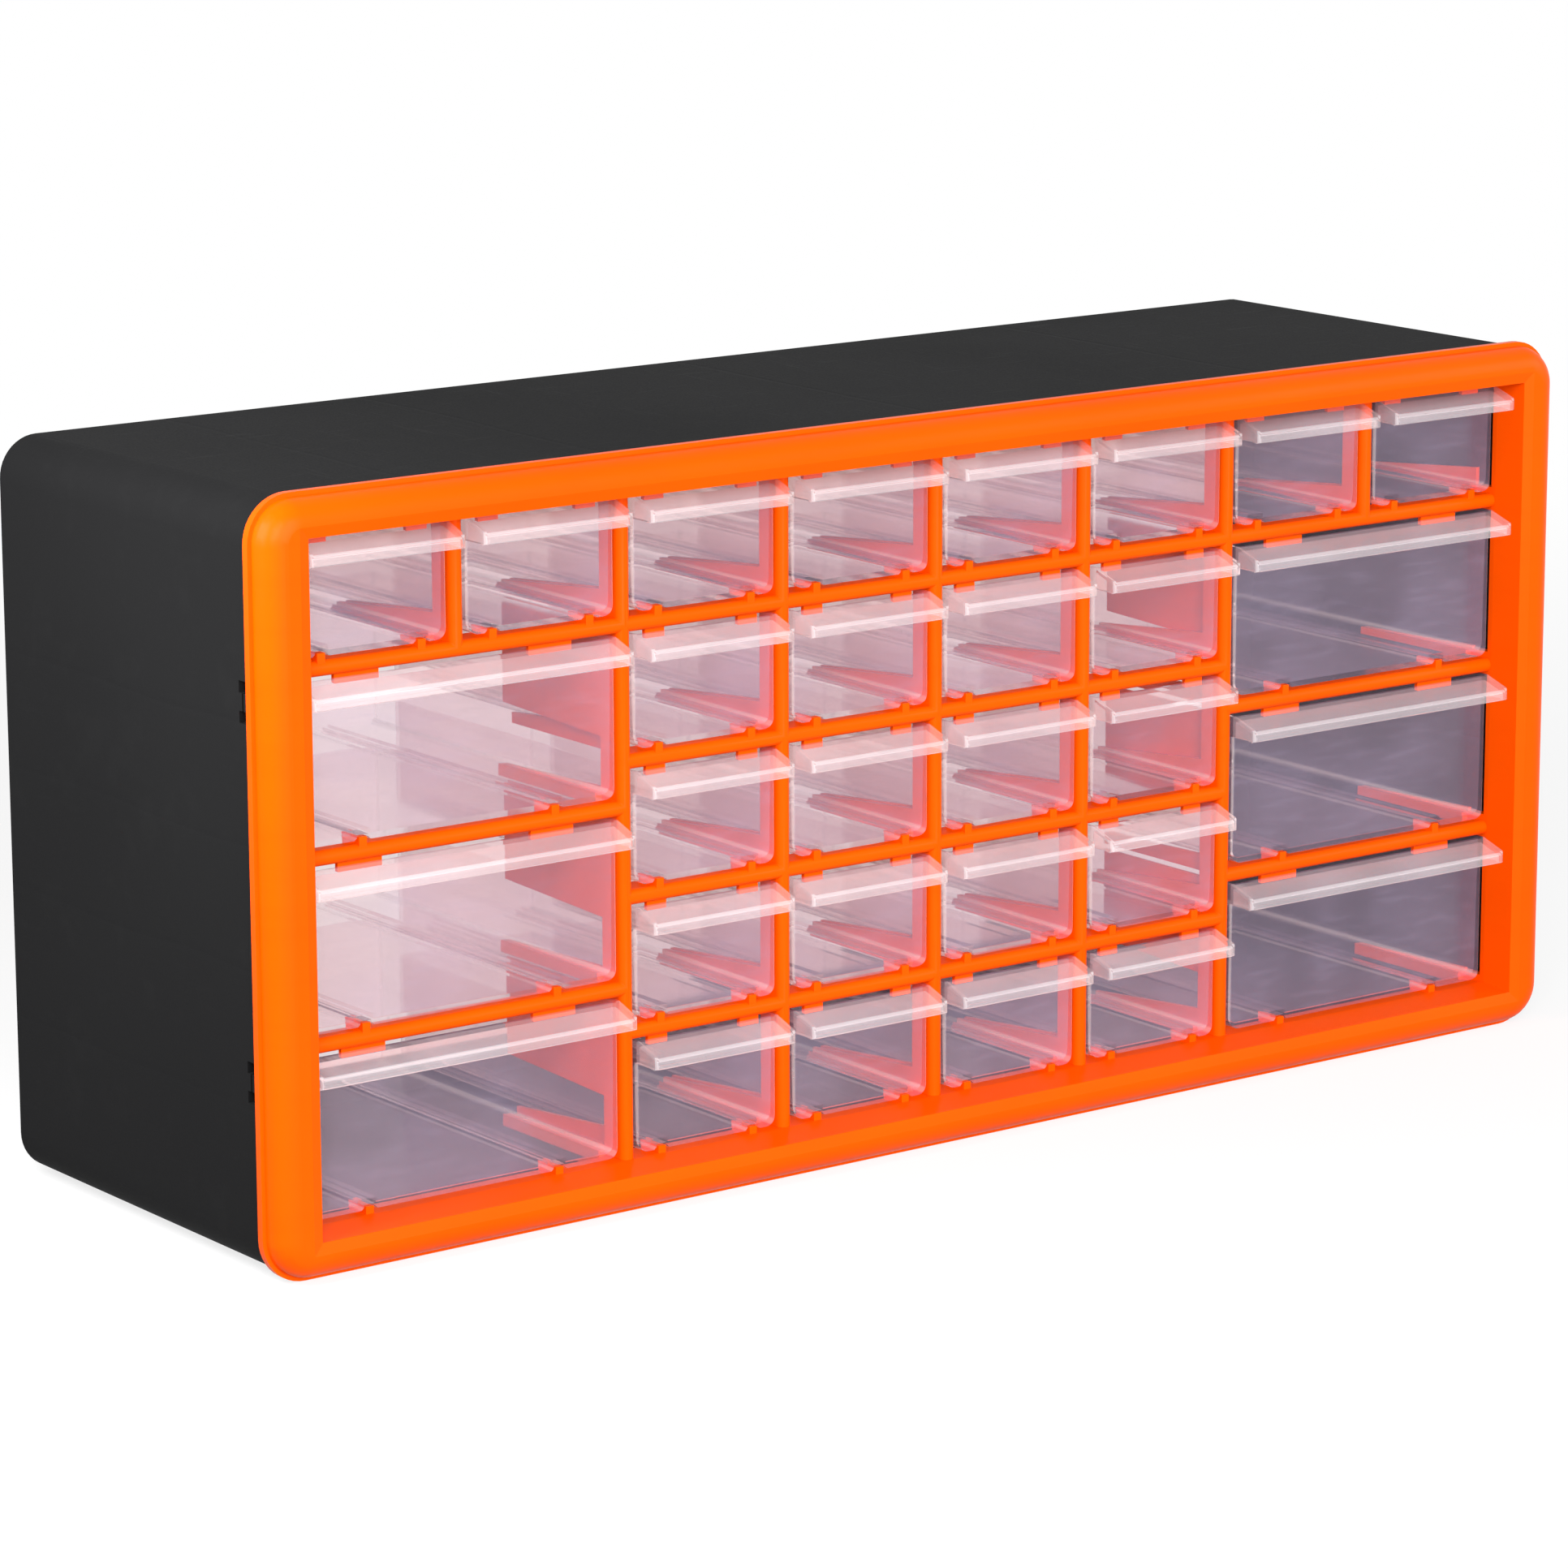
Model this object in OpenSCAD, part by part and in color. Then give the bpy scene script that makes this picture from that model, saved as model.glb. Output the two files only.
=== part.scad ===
// Parts cabinet: a black casing, a front frame with its grid and thirty clear drawers.
// X runs across the front, Y runs back from the front and Z is up. The origin lies under
// the middle of the cabinet, on the surface that it stands on.

/* [Cabinet] */
// Overall width, over the lip of the front frame
cabinet_w = 495; // [460:1:540]
// Overall height, over the lip of the front frame
cabinet_h = 228; // [215:1:250]
// Depth of the casing behind the lip
casing_d = 138; // [136:1:170]

/* [Casing] */
// How far the casing's outside lies inside the edge of the lip
casing_inset = 1.5; // [1:0.1:2.5]
// Wall thickness of the casing
casing_wall = 2.4; // [1.8:0.1:3]
// Outside corner radius of the casing
casing_corner_r = 12.5; // [9:0.5:14]
// Width of the flange round the open back, at the sides and the bottom
back_flange_w = 12; // [8:1:16]
// Height of the flange along the top of the open back
back_flange_top = 22; // [20:1:26]
// Corner radius of the open back
back_opening_r = 8; // [4:1:12]
// Radius of the round pads under the rear edge
pad_r = 9; // [6:0.5:12]
// Distance from a pad's centre to the cabinet's side and to its back
pad_margin = 26; // [25:1:45]

/* [Wall keyholes] */
// Distance between the two keyholes
keyhole_spacing = 300; // [200:1:380]
// Radius of the round hole that a screw head goes through
keyhole_head_r = 4.5; // [4:0.1:5]
// Half the width of the slot that holds the screw
keyhole_slot_r = 2.25; // [2:0.05:2.6]
// Rise from the centre of the round hole to the end of the slot
keyhole_rise = 7; // [6:0.5:8]
// Distance from the centre of the round hole down to the flange's lower edge
keyhole_edge = 7.5; // [6:0.5:8]

/* [Snap windows] */
// Height of each window in the casing's side
snap_window_h = 3.5; // [3:0.1:5]
// Length of each window along the depth
snap_window_l = 4; // [3:0.1:5]
// Distance from the lip to a window
snap_window_back = 2; // [1.5:0.1:3]
// Width of the snap finger between the two windows of a pair
snap_finger_w = 5.2; // [4:0.1:7]
// Width of the slot that joins the two windows of a pair
snap_slot_w = 0.9; // [0.8:0.1:1.2]
// Height of each pair of windows above and below the middle of the side
snap_spread = 55; // [40:1:70]
// How far the snap barb reaches into the slot
snap_barb = 0.8; // [0.6:0.1:1.2]

/* [Frame bezel] */
// Thickness of the lip
lip_t = 2.5; // [2:0.1:3]
// Corner radius of the lip
lip_corner_r = 14; // [12:0.5:16]
// Step from the edge of the lip in to the bezel
bezel_inset = 1.3; // [1:0.1:2]
// How far the bezel stands in front of the lip's back
bezel_depth = 10; // [9:0.5:11]
// How far the bezel's inner edge stands in front of the lip's back
inner_edge_depth = 9; // [8:0.5:9.5]
// Width of the slope between the bezel's crown and its inner edge
slope_w = 3.4; // [2:0.1:4]
// Width of the border beside the grid
side_border = 17; // [16:0.5:20]
// Height of the border above and below the grid
top_border = 13.8; // [13.5:0.1:15]
// How far the recess narrows on each side, from the bezel to the grid
side_taper = 1; // [0.5:0.1:1.5]
// How far the recess narrows at the top and the bottom
top_taper = 1.4; // [0.5:0.1:1.6]
// Wall thickness round the recess
recess_wall = 2; // [1.6:0.1:2.4]
// Thickness of the bezel's front
bezel_wall = 3.5; // [3:0.1:4]
// Depth of the skirt that goes inside the casing
skirt_d = 9; // [8:0.5:12]
// Wall thickness of the skirt
skirt_t = 1.8; // [1.4:0.1:2]
// Gap between the skirt and the casing
skirt_gap = 0.3; // [0.2:0.05:0.4]

/* [Grid] */
// Width of every divider and height of every shelf rail
bar_w = 4.6; // [4:0.1:5.5]
// Depth of the dividers and rails
bar_d = 10; // [8:0.5:12]
// How far the front of the grid lies behind the lip's back
grid_recess = 2.4; // [1.5:0.1:4]
// Width of the guide nubs that stand on the rails
nub_w = 2.7; // [2:0.1:3.5]
// Height of the guide nubs
nub_h = 2.3; // [1.8:0.1:2.6]
// How far the guide nubs lie behind the front of the grid
nub_back = 0.6; // [0.4:0.1:1.5]
// Distance from the middle of a small cell to each of its nubs and tabs
small_nub_x = 16.9; // [14:0.1:18]
// Distance from the middle of a large cell to each of its nubs and tabs
large_nub_x = 33.2; // [28:0.1:36]
// How far the stop tabs hang below the rails
tab_h = 3; // [2.6:0.1:3.2]
// Thickness of the stop tabs
tab_t = 1.5; // [1.2:0.1:2]
// Gap between the stop tabs and the front wall of the drawer below
tab_gap = 0.4; // [0.3:0.1:0.8]
// Width of a stop tab over a small drawer
small_tab_w = 7; // [5:0.5:9]
// Width of a stop tab over a large drawer
large_tab_w = 15; // [10:0.5:18]

/* [Runners] */
// Wall thickness of the side runners
runner_t = 1.4; // [1.2:0.1:1.8]
// Length of the side runners behind the grid
runner_l = 51; // [35:1:70]
// Width of the ledge at the foot of a runner, under the drawer's edge
ledge_w = 2; // [1.5:0.1:3]
// Height of a small cell's runner at its front, above the rail
small_runner_front = 7.6; // [5:0.1:12]
// Height of a small cell's runner at its end
small_runner_end = 2.8; // [2:0.1:6]
// Thickness of the ledge of a small cell's runner
small_ledge_t = 1.5; // [1.2:0.1:2]
// Height of a large cell's runner at its front, above the rail
large_runner_front = 3; // [2:0.1:6]
// Height of a large cell's runner at its end
large_runner_end = 1; // [0.8:0.1:3]
// Thickness of the ledge of a large cell's runner
large_ledge_t = 3.7; // [2:0.1:4]
// Height of the guide wall beside a large drawer's top, at the grid
guide_wall_front = 32; // [20:1:36]
// Height of that guide wall at its end
guide_wall_end = 30; // [15:1:34]

/* [Drawers] */
// Length of a drawer from its front to its back
drawer_l = 129; // [110:1:131]
// Wall thickness of the drawers
drawer_wall = 1.3; // [1:0.1:1.6]
// Thickness of a drawer's floor
drawer_floor = 1.4; // [1.2:0.1:1.8]
// Gap between a drawer and its cell on each side
drawer_side_gap = 0.7; // [0.5:0.1:1]
// Gap between a drawer and the rail under it
drawer_floor_gap = 1.3; // [0.8:0.1:1.6]
// Gap between a drawer and the ledges that carry it
seat_gap = 0.3; // [0.2:0.05:0.5]
// Gap between a drawer's sides and the rail above
drawer_top_gap = 0.7; // [0.5:0.1:1]
// How far a drawer's front lies behind the front of the grid
drawer_front_back = 0.8; // [0.5:0.1:1.5]
// How much narrower a drawer is at its bottom, on each side
drawer_draft = 0.4; // [0.2:0.1:0.8]
// Outside radius of a drawer's two lower edges
drawer_edge_r = 4; // [3:0.1:5]
// Outside radius of a drawer's upright corners
drawer_corner_r = 2; // [1.6:0.1:2.4]
// Gap round a guide nub in the drawer's channel
channel_gap = 0.6; // [0.4:0.1:0.8]
// How far the channel's lower edges flare out
channel_flare = 0.8; // [0.4:0.1:1]

/* [Hood pull] */
// How far the hood pull reaches in front of the drawer
hood_reach = 10.5; // [8:0.5:11]
// Height of the hood pull's side from its top to its lower edge
hood_h = 6.6; // [6:0.1:10]
// How far the hood and the drawer's front lie below the sides' top
front_drop = 0.4; // [0.2:0.1:1]
// Outside radius of the turn at the hood's front
hood_r = 2; // [1.8:0.1:3]
// Angle at which the hood's top falls from the drawer's front to that turn, in degrees
hood_slope = 18; // [10:1:22]
// Wall thickness of the hood
hood_wall = 1.3; // [1:0.1:1.6]
// Height of the thicker rim along the hood's lower edge
hood_rim_h = 1.2; // [0.8:0.1:1.4]
// How far the rim stands out from the hood's front
hood_rim = 0.3; // [0.2:0.05:0.5]

/* [Hidden] */
$fn = 48;
columns = 8;
rows = 5;
large_rows = 3;
row_letters = ["e", "d", "c", "b", "a"];
sides = ["left", "right"];

// Lets a cut run past a face, and a piece run into the one that it is moulded to
over = 1;
// How far the hood's slope runs into the round turn at its front
turn_overlap = 0.03;

// Depths below are measured back from the lip's back, which meets the casing
lip_plane = -(casing_d + bezel_depth) / 2 + bezel_depth;
bezel_edge_r = bezel_depth - lip_t;
bezel_w = cabinet_w - 2 * bezel_inset;
bezel_h = cabinet_h - 2 * bezel_inset;
bezel_corner_r = lip_corner_r - bezel_inset;

casing_w = cabinet_w - 2 * casing_inset;
casing_h = cabinet_h - 2 * casing_inset;
hollow_w = casing_w - 2 * casing_wall;
hollow_h = casing_h - 2 * casing_wall;
hollow_r = casing_corner_r - casing_wall;
back_flange_t = casing_wall;

grid_w = cabinet_w - 2 * side_border;
grid_h = cabinet_h - 2 * top_border;
grid_back = grid_recess + bar_d;
bead_r = bar_w / 2;
inner_edge_w = grid_w + 2 * side_taper;
inner_edge_h = grid_h + 2 * top_taper;

column_pitch = (grid_w + bar_w) / columns;
row_pitch = (grid_h + bar_w) / rows;
large_pitch = row_pitch * (rows - 1) / large_rows;
small_w = column_pitch - bar_w;
small_h = row_pitch - bar_w;
large_w = 2 * column_pitch - bar_w;
large_h = large_pitch - bar_w;
top_row_z = top_border + (rows - 1) * row_pitch;

runner_front = grid_back - over;
runner_end = grid_back + runner_l;

drawer_front = grid_recess + drawer_front_back;
channel_w = nub_w + 2 * channel_gap;
channel_h = nub_h - drawer_floor_gap + channel_gap;
drawer_play = drawer_floor_gap + drawer_top_gap;
tab_front = drawer_front + drawer_wall + tab_gap;
ledge_h = drawer_floor_gap - seat_gap;

window_low = ledge_h + over;
window_inset = over;

skirt_w = hollow_w - 2 * skirt_gap;
skirt_h = hollow_h - 2 * skirt_gap;
skirt_r = hollow_r - skirt_gap;
window_z = (snap_finger_w + snap_window_h) / 2;

small_cells = [
  for (row = [0 : rows - 1], column = [0 : columns - 1])
    if (row == rows - 1 || (column > 1 && column < columns - 2)) [column, row]
];
large_cells = [for (side = [0, 1], row = [0 : large_rows - 1]) [side, row]];
// Each part of the grid, with the numbers of the dividers at its two ends. Number 0 is in the
// middle, and the numbers past the last dividers stand for the recess wall.
grid_parts = [
  ["left_grid", -4, -2], ["middle_left_grid", -2, 0],
  ["middle_right_grid", 0, 2], ["right_grid", 2, 4]
];

function small_x(column) = (column - (columns - 1) / 2) * column_pitch;
function small_z(row) = top_border + row * row_pitch;
function large_x(side) = (2 * side - 1) * (columns / 2 - 1) * column_pitch;
function large_z(row) = top_border + row * large_pitch;
function first_column(row) = row == rows - 1 ? 0 : 2;
function is_outer(x, w, side) = side * x + w / 2 > grid_w / 2 - over;
function divider_x(k) = abs(k) == columns / 2 ? sign(k) * grid_w / 2 : k * column_pitch;
function small_name(cell) =
  str("small_drawer_", row_letters[cell[1]], cell[0] - first_column(cell[1]) + 1);
function large_name(cell) = str("large_drawer_", sides[cell[0]], "_", large_rows - cell[1]);

// ---- Outlines and placing ----

// Extrudes a front view (X across, Z up) from depth y0 back to depth y1
module layer(y0, y1) {
  translate([0, lip_plane + y1, 0])
    rotate([90, 0, 0])
      linear_extrude(y1 - y0)
        children();
}

// Extrudes a side view (depth across, Z up) from x0 to x1
module across(x0, x1) {
  translate([x0, lip_plane, 0])
    rotate([90, 0, 90])
      linear_extrude(x1 - x0)
        children();
}

// A rectangle with round corners, centred on the origin
module rounded_rect(w, h, r) {
  square([w - 2 * r, h], center = true);
  square([w, h - 2 * r], center = true);
  for (x = [-1, 1], y = [-1, 1])
    translate([x * (w / 2 - r), y * (h / 2 - r)])
      circle(r);
}

// A front view's rounded rectangle, centred on the middle of the front
module front_outline(w, h, r) {
  translate([0, cabinet_h / 2])
    rounded_rect(w, h, r);
}

// A square-cornered opening that narrows from w0 by h0 at depth y0 to w1 by h1 at depth y1
module tapered_opening(y0, w0, h0, y1, w1, h1) {
  middle = cabinet_h / 2;
  intersection() {
    translate([0, lip_plane, 0])
      linear_extrude(cabinet_h)
        polygon([[-w0 / 2, y0], [w0 / 2, y0], [w1 / 2, y1], [-w1 / 2, y1]]);
    across(-cabinet_w / 2, cabinet_w / 2)
      polygon([
        [y0, middle - h0 / 2], [y1, middle - h1 / 2],
        [y1, middle + h1 / 2], [y0, middle + h0 / 2]
      ]);
  }
}

// ---- Casing ----

// A keyhole's outline, with its round hole centred on the origin
module keyhole() {
  circle(keyhole_head_r);
  translate([0, keyhole_rise])
    circle(keyhole_slot_r);
  translate([-keyhole_slot_r, 0])
    square([2 * keyhole_slot_r, keyhole_rise]);
}

// The side view of one pair of snap windows, centred on its middle height
module snap_windows() {
  middle = snap_window_back + snap_window_l / 2;
  for (side = [-1, 1])
    translate([middle, side * window_z])
      square([snap_window_l, snap_window_h], center = true);
  translate([middle, 0])
    square([snap_slot_w, snap_finger_w + snap_window_h], center = true);
}

module back_opening() {
  top = cabinet_h / 2 + hollow_h / 2 - back_flange_top;
  bottom = cabinet_h / 2 - hollow_h / 2 + back_flange_w;
  translate([0, (top + bottom) / 2])
    rounded_rect(hollow_w - 2 * back_flange_w, top - bottom, back_opening_r);
}

module casing() {
  keyhole_z = cabinet_h / 2 + hollow_h / 2 - back_flange_top + keyhole_edge;
  color([0.16, 0.16, 0.17]) {
    difference() {
      layer(0, casing_d)
        front_outline(casing_w, casing_h, casing_corner_r);
      layer(-over, casing_d - back_flange_t)
        front_outline(hollow_w, hollow_h, hollow_r);
      layer(0, casing_d + over)
        back_opening();
      layer(0, casing_d + over)
        for (side = [-1, 1])
          translate([side * keyhole_spacing / 2, keyhole_z])
            keyhole();
      for (level = [-1, 1])
        across(-cabinet_w / 2, cabinet_w / 2)
          translate([0, cabinet_h / 2 + level * snap_spread])
            snap_windows();
    }
    for (side = [-1, 1])
      translate([side * (cabinet_w / 2 - pad_margin), lip_plane + casing_d - pad_margin, 0])
        cylinder(h = casing_inset + casing_wall / 2, r = pad_r);
  }
}

// ---- Front frame ----

// The bezel's section: a bar of the given length whose two front edges are full quarter rounds
module bezel_section(length) {
  intersection() {
    union() {
      translate([bezel_edge_r - length / 2, 0])
        square([length - 2 * bezel_edge_r, bezel_edge_r]);
      for (side = [-1, 1])
        translate([side * (length / 2 - bezel_edge_r), 0])
          circle(bezel_edge_r);
    }
    translate([-length / 2, 0])
      square([length, bezel_edge_r]);
  }
}

// The bezel as a solid slab with a rounded front edge all the way round
module bezel_slab() {
  straight_w = bezel_w - 2 * bezel_corner_r;
  straight_h = bezel_h - 2 * bezel_corner_r;
  translate([0, lip_plane - lip_t, cabinet_h / 2]) {
    translate([0, 0, -straight_h / 2])
      mirror([0, 1, 0])
        linear_extrude(straight_h)
          bezel_section(bezel_w);
    translate([-straight_w / 2, 0, 0])
      mirror([0, 1, 0])
        rotate([0, 90, 0])
          linear_extrude(straight_w)
            bezel_section(bezel_h);
    for (x = [-1, 1], z = [-1, 1])
      translate([x * straight_w / 2, 0, z * straight_h / 2])
        rotate([90, 0, 0])
          rotate_extrude()
            intersection() {
              bezel_section(2 * bezel_corner_r);
              square([bezel_corner_r, bezel_edge_r]);
            }
  }
}

// The way through the frame, from in front of the bezel to behind the grid
module frame_opening() {
  slope_run = bezel_depth - inner_edge_depth;
  slope = slope_w * (slope_run + over) / slope_run;
  tapered_opening(
    -bezel_depth - over, inner_edge_w + 2 * slope, inner_edge_h + 2 * slope,
    -inner_edge_depth, inner_edge_w, inner_edge_h
  );
  tapered_opening(
    -inner_edge_depth, inner_edge_w, inner_edge_h,
    grid_recess, grid_w, grid_h
  );
  tapered_opening(
    grid_recess, grid_w, grid_h,
    grid_back + over, grid_w, grid_h
  );
}

// The outside of the wall round the recess and the grid
module recess_wall_outline() {
  translate([0, cabinet_h / 2])
    square([inner_edge_w + 2 * recess_wall, inner_edge_h + 2 * recess_wall], center = true);
}

// The window beside an outer cell w wide and h high, through the wall round the recess. It
// lies behind the drawer's front, over the runner and under the next rail.
module side_window(x, z, w, h) {
  side = x < 0 ? -1 : 1;
  translate([x + side * (w / 2 + recess_wall), 0, 0])
    across(-2 * recess_wall, 2 * recess_wall)
      translate([drawer_front + window_inset, z + window_low])
        square([bar_d, h - window_low - window_inset]);
}

// A divider from z0 to z1 with a rounded front, centred on x
module divider(x, z0, z1) {
  translate([x, lip_plane + grid_recess + bead_r, z0]) {
    cylinder(h = z1 - z0, r = bead_r);
    translate([-bead_r, 0, 0])
      cube([bar_w, bar_d - bead_r, z1 - z0]);
  }
}

// A shelf rail from x0 to x1 with a rounded front, whose top is at z
module rail(z, x0, x1) {
  translate([x0, lip_plane + grid_recess + bead_r, z - bead_r]) {
    rotate([0, 90, 0])
      cylinder(h = x1 - x0, r = bead_r);
    translate([0, 0, -bead_r])
      cube([x1 - x0, bar_d - bead_r, bar_w]);
  }
}

// The rails and dividers between divider number k0 and divider number k1
module grid_bars(k0, k1) {
  beside_large = abs(k0 + k1) > columns / 2;
  for (k = [k0 : k1])
    if (abs(k) < columns / 2) {
      short = abs(k) == columns / 2 - 1;
      divider(k * column_pitch, short ? top_row_z - bead_r : top_border, cabinet_h - top_border);
    }
  for (z = beside_large
      ? concat([for (row = [1 : large_rows - 1]) large_z(row)], top_row_z)
      : [for (row = [1 : rows - 1]) small_z(row)])
    rail(z, divider_x(k0) - over, divider_x(k1) + over);
}

// The two guide nubs of a cell whose floor is at z
module cell_nubs(x, z, nub_x) {
  for (side = [-1, 1])
    translate([x + side * nub_x - nub_w / 2, lip_plane + grid_recess + nub_back, z - bead_r])
      cube([nub_w, bar_d - nub_back, nub_h + bead_r]);
}

// The two stop tabs of a cell whose top is at z
module cell_tabs(x, z, nub_x, tab_w) {
  for (side = [-1, 1])
    translate([x + side * nub_x - tab_w / 2, lip_plane + tab_front, z - tab_h])
      cube([tab_w, tab_t, tab_h + over]);
}

// One cell's side runners, each a wall beside the drawer with a ledge under its edge. With
// outer, only a runner at the cabinet's side is made, and without it only the others.
module cell_runners(x, z, w, front_h, end_h, ledge_t, outer) {
  for (side = [-1, 1])
    if (is_outer(x, w, side) == outer)
      translate([x, 0, z])
        mirror([side < 0 ? 1 : 0, 0, 0]) {
          across(w / 2, w / 2 + runner_t)
            polygon([
              [runner_front, 0], [grid_back, 0], [grid_back, ledge_h - ledge_t],
              [runner_end, ledge_h - ledge_t], [runner_end, end_h], [runner_front, front_h]
            ]);
          across(w / 2 - ledge_w, w / 2 + over / 2)
            translate([grid_back, ledge_h - ledge_t])
              square([runner_l, ledge_t]);
        }
}

module small_runners(cell, outer) {
  cell_runners(
    small_x(cell[0]), small_z(cell[1]), small_w,
    small_runner_front, small_runner_end, small_ledge_t, outer
  );
}

module large_runners(cell, outer) {
  cell_runners(
    large_x(cell[0]), large_z(cell[1]), large_w,
    large_runner_front, large_runner_end, large_ledge_t, outer
  );
}

// The wall that guides the upper half of a large drawer, on the cell's inner side
module guide_wall(side, z) {
  top = z + large_h;
  translate([large_x(side), 0, 0])
    mirror([side, 0, 0])
      across(large_w / 2, large_w / 2 + runner_t)
        polygon([
          [runner_front, top - guide_wall_front], [runner_end, top - guide_wall_end],
          [runner_end, top], [runner_front, top]
        ]);
}

// The skirt inside the casing, with a slot on each side of every snap finger
module skirt() {
  middle = snap_window_back + snap_window_l / 2;
  barb_w = snap_slot_w - skirt_gap;
  difference() {
    layer(-over, skirt_d)
      front_outline(skirt_w, skirt_h, skirt_r);
    layer(-2 * over, skirt_d + over)
      front_outline(skirt_w - 2 * skirt_t, skirt_h - 2 * skirt_t, skirt_r - skirt_t);
    for (level = [-1, 1], side = [-1, 1])
      translate([0, 0, cabinet_h / 2 + level * snap_spread + side * window_z])
        across(-cabinet_w / 2, cabinet_w / 2)
          translate([snap_window_back, -snap_window_h / 2])
            square([skirt_d, snap_window_h]);
  }
  for (level = [-1, 1], side = [-1, 1])
    translate([0, 0, cabinet_h / 2 + level * snap_spread])
      mirror([side < 0 ? 1 : 0, 0, 0])
        across(skirt_w / 2 - skirt_t / 2, hollow_w / 2 + snap_barb)
          translate([middle, 0])
            square([barb_w, snap_finger_w - 2 * skirt_gap], center = true);
}

// The lip, bezel, recess and skirt, with the nubs, tabs and runners that stand on the recess
// wall itself
module front_frame() {
  cavity_w = skirt_w - 2 * skirt_t;
  cavity_h = skirt_h - 2 * skirt_t;
  color([0.98, 0.42, 0.05]) {
    difference() {
      union() {
        layer(-lip_t, 0)
          front_outline(cabinet_w, cabinet_h, lip_corner_r);
        bezel_slab();
        layer(-over, grid_back)
          recess_wall_outline();
      }
      difference() {
        layer(-bezel_depth + bezel_wall, over)
          front_outline(cavity_w, cavity_h, skirt_r - skirt_t);
        layer(-bezel_depth, 2 * over)
          recess_wall_outline();
      }
      frame_opening();
      for (cell = small_cells)
        if (is_outer(small_x(cell[0]), small_w, small_x(cell[0]) < 0 ? -1 : 1))
          side_window(small_x(cell[0]), small_z(cell[1]), small_w, small_h);
      for (cell = large_cells)
        side_window(large_x(cell[0]), large_z(cell[1]), large_w, large_h);
    }
    skirt();
    for (cell = small_cells) {
      if (cell[1] == 0)
        cell_nubs(small_x(cell[0]), small_z(0), small_nub_x);
      if (cell[1] == rows - 1)
        cell_tabs(small_x(cell[0]), top_row_z + small_h, small_nub_x, small_tab_w);
      small_runners(cell, true);
    }
    for (cell = large_cells) {
      if (cell[1] == 0)
        cell_nubs(large_x(cell[0]), large_z(0), large_nub_x);
      large_runners(cell, true);
    }
  }
}

// One part of the grid, from divider number k0 to divider number k1. The grid is moulded in one
// with the frame: its parts meet one another in the middle of a divider, and the recess wall.
module grid_part(k0, k1) {
  x0 = divider_x(k0);
  x1 = divider_x(k1);
  color([0.98, 0.42, 0.05])
    intersection() {
      translate([x0, lip_plane, 0])
        cube([x1 - x0, runner_end + over, cabinet_h]);
      union() {
        grid_bars(k0, k1);
        for (cell = small_cells)
          if (small_x(cell[0]) > x0 && small_x(cell[0]) < x1) {
            if (cell[1] > 0)
              cell_nubs(small_x(cell[0]), small_z(cell[1]), small_nub_x);
            if (cell[1] < rows - 1)
              cell_tabs(
                small_x(cell[0]), small_z(cell[1]) + small_h, small_nub_x, small_tab_w
              );
            small_runners(cell, false);
          }
        for (cell = large_cells)
          if (large_x(cell[0]) > x0 && large_x(cell[0]) < x1) {
            if (cell[1] > 0)
              cell_nubs(large_x(cell[0]), large_z(cell[1]), large_nub_x);
            cell_tabs(
              large_x(cell[0]), large_z(cell[1]) + large_h, large_nub_x, large_tab_w
            );
            large_runners(cell, false);
            guide_wall(cell[0], large_z(cell[1]));
          }
      }
    }
}

// ---- Drawers ----

// A drawer's cross-section, shrunk by inset: sides with draft and two round lower corners.
// It runs from height z0 to the sides' top at height h, and straight on up to height top.
module drawer_section(w, h, inset, z0, top) {
  r = drawer_edge_r - inset;
  low_w = w - 2 * drawer_draft - 2 * inset;
  high_w = w - 2 * inset;
  polygon([
    [-low_w / 2, z0 + r], [low_w / 2, z0 + r],
    [high_w / 2, h], [high_w / 2, top], [-high_w / 2, top], [-high_w / 2, h]
  ]);
  translate([r - low_w / 2, z0])
    square([low_w - 2 * r, r]);
  for (side = [-1, 1])
    translate([side * (low_w / 2 - r), z0 + r])
      circle(r);
}

// The hood's side view in front of the drawer: a straight slope, then a round turn down to its
// lower edge. The drawer's front is at depth 0, and the outline runs back to depth back.
// The slope ends just inside the round turn, so that the two cross.
module hood_outline(top, reach, r, low, back) {
  turn_z = top - (reach - r * (1 - sin(hood_slope))) * tan(hood_slope) - r * cos(hood_slope);
  meet_r = r - turn_overlap;
  polygon([
    [back, low], [back, top], [0, top],
    [r - reach - meet_r * sin(hood_slope), turn_z + meet_r * cos(hood_slope)],
    [r - reach, turn_z], [-reach, turn_z], [-reach, low]
  ]);
  translate([r - reach, turn_z])
    circle(r);
}

// Rounds the upright corners of what it is given, between depths y0 and y1
module round_corners(w, y0, y1, h) {
  intersection() {
    children();
    translate([0, lip_plane + (y0 + y1) / 2, 0])
      linear_extrude(h)
        rounded_rect(w, y1 - y0, drawer_corner_r);
  }
}

// The two raised ridges in a drawer's floor that leave room for the guide nubs
module channel_ridges(nub_x) {
  ridge_w = channel_w + 2 * drawer_wall;
  for (side = [-1, 1])
    layer(0, drawer_l)
      translate([side * nub_x - ridge_w / 2, 0])
        square([ridge_w, channel_h + drawer_wall]);
}

// The channels under those ridges, with a flared lower edge that finds the nubs
module channels(nub_x) {
  half = channel_w / 2;
  wide = half + channel_flare;
  for (side = [-1, 1])
    layer(-over, drawer_l + over)
      translate([side * nub_x, 0])
        polygon([
          [-wide, -over], [wide, -over], [wide, 0], [half, channel_flare],
          [half, channel_h], [-half, channel_h], [-half, channel_flare], [-wide, 0]
        ]);
}

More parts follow.
